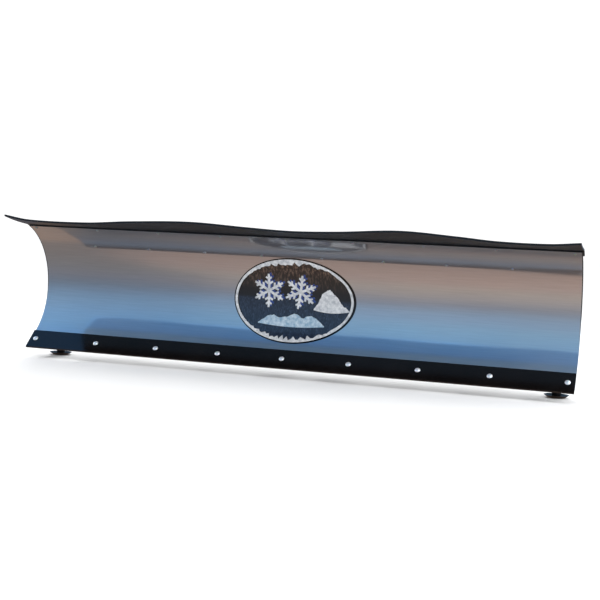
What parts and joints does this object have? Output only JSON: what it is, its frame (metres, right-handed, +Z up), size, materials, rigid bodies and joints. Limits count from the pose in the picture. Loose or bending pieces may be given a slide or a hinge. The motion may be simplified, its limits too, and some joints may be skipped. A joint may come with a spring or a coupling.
{
  "type": "atv snow plow blade",
  "caption": "Concave steel snow plow blade with a bolted cutting edge, a rubber top deflector, a ribbed back frame and swivelling skid shoes.",
  "frame": {"origin": "on the ground, under the middle of the whole blade's box", "axes": "+X along the blade, to the right seen from in front; the face looks along -Y; +Z up"},
  "size_m": [1.8378, 0.3604, 0.4753],
  "materials": {
    "face_steel": "smooth bright rolled sheet",
    "edge_paint": "gloss black",
    "frame_paint": "satin black powder coat",
    "shoe_paint": "gloss black",
    "zinc": "bright zinc plate",
    "deflector_rubber": "matt black",
    "badge_film": "printed film",
    "cap_plastic": "moulded black"
  },
  "bodies": {
    "blade": {"base_bar": "frame_paint", "face_rail": "frame_paint", "cross_tube": "frame_paint", "left_pivot_ear": "frame_paint", "right_pivot_ear": "frame_paint", "left_spring_lug": "frame_paint", "right_spring_lug": "frame_paint", "rib_1": "frame_paint", "rib_2": "frame_paint", "rib_3": "frame_paint", "rib_4": "frame_paint", "rib_5": "frame_paint", "rib_6": "frame_paint", "rib_7": "frame_paint", "rib_8": "frame_paint", "left_skid_bracket": "frame_paint", "right_skid_bracket": "frame_paint", "left_skid_sleeve": "frame_paint", "right_skid_sleeve": "frame_paint", "moldboard": "face_steel", "wear_bar": "edge_paint", "badge": "badge_film", "left_tube_cap": "cap_plastic", "left_skid_washers": "zinc", "right_tube_cap": "cap_plastic", "right_skid_washers": "zinc", "deflector_edge": "deflector_rubber", "deflector_strip": "frame_paint", "wear_bar_bolts": "zinc", "wear_bar_nuts": "zinc", "face_bolts": "zinc", "face_nuts": "zinc", "deflector_bolts": "zinc", "deflector_nuts": "zinc"},
    "deflector": {"deflector_lip": "deflector_rubber"},
    "left_spacer_stack": {"left_skid_spacers": "zinc"},
    "left_shoe": {"left_skid_shoe": "shoe_paint", "left_skid_post": "zinc", "left_lynch_pin": "zinc"},
    "left_ring": {"left_lynch_ring": "zinc"},
    "right_spacer_stack": {"right_skid_spacers": "zinc"},
    "right_shoe": {"right_skid_shoe": "shoe_paint", "right_skid_post": "zinc", "right_lynch_pin": "zinc"},
    "right_ring": {"right_lynch_ring": "zinc"}
  },
  "joints": [
    {"name": "deflector_flex", "type": "hinge", "parent": "blade", "child": "deflector", "pos_m": [0, -0.02869, 0.44811], "axis": [-1, 0, 0], "range_deg": [-25, 35], "stiffness_Nm_per_rad": 8, "springref_deg": 10.77},
    {"name": "left_skid_float", "type": "slide", "parent": "blade", "child": "left_spacer_stack", "axis": [0, 0, 1], "range_m": [-0.0078, 0]},
    {"name": "left_skid_swivel", "type": "hinge", "parent": "left_spacer_stack", "child": "left_shoe", "pos_m": [-0.8537, 0.10421, 0.05], "axis": [0, 0, 1], "continuous": true},
    {"name": "left_lynch_ring_flip", "type": "hinge", "parent": "left_shoe", "child": "left_ring", "pos_m": [-0.8537, 0.12651, 0.09], "axis": [-1, 0, 0], "range_deg": [0, 90]},
    {"name": "right_skid_float", "type": "slide", "parent": "blade", "child": "right_spacer_stack", "axis": [0, 0, 1], "range_m": [-0.0078, 0]},
    {"name": "right_skid_swivel", "type": "hinge", "parent": "right_spacer_stack", "child": "right_shoe", "pos_m": [0.8537, 0.10421, 0.05], "axis": [0, 0, 1], "continuous": true},
    {"name": "right_lynch_ring_flip", "type": "hinge", "parent": "right_shoe", "child": "right_ring", "pos_m": [0.8537, 0.12651, 0.09], "axis": [-1, 0, 0], "range_deg": [0, 90]}
  ]
}
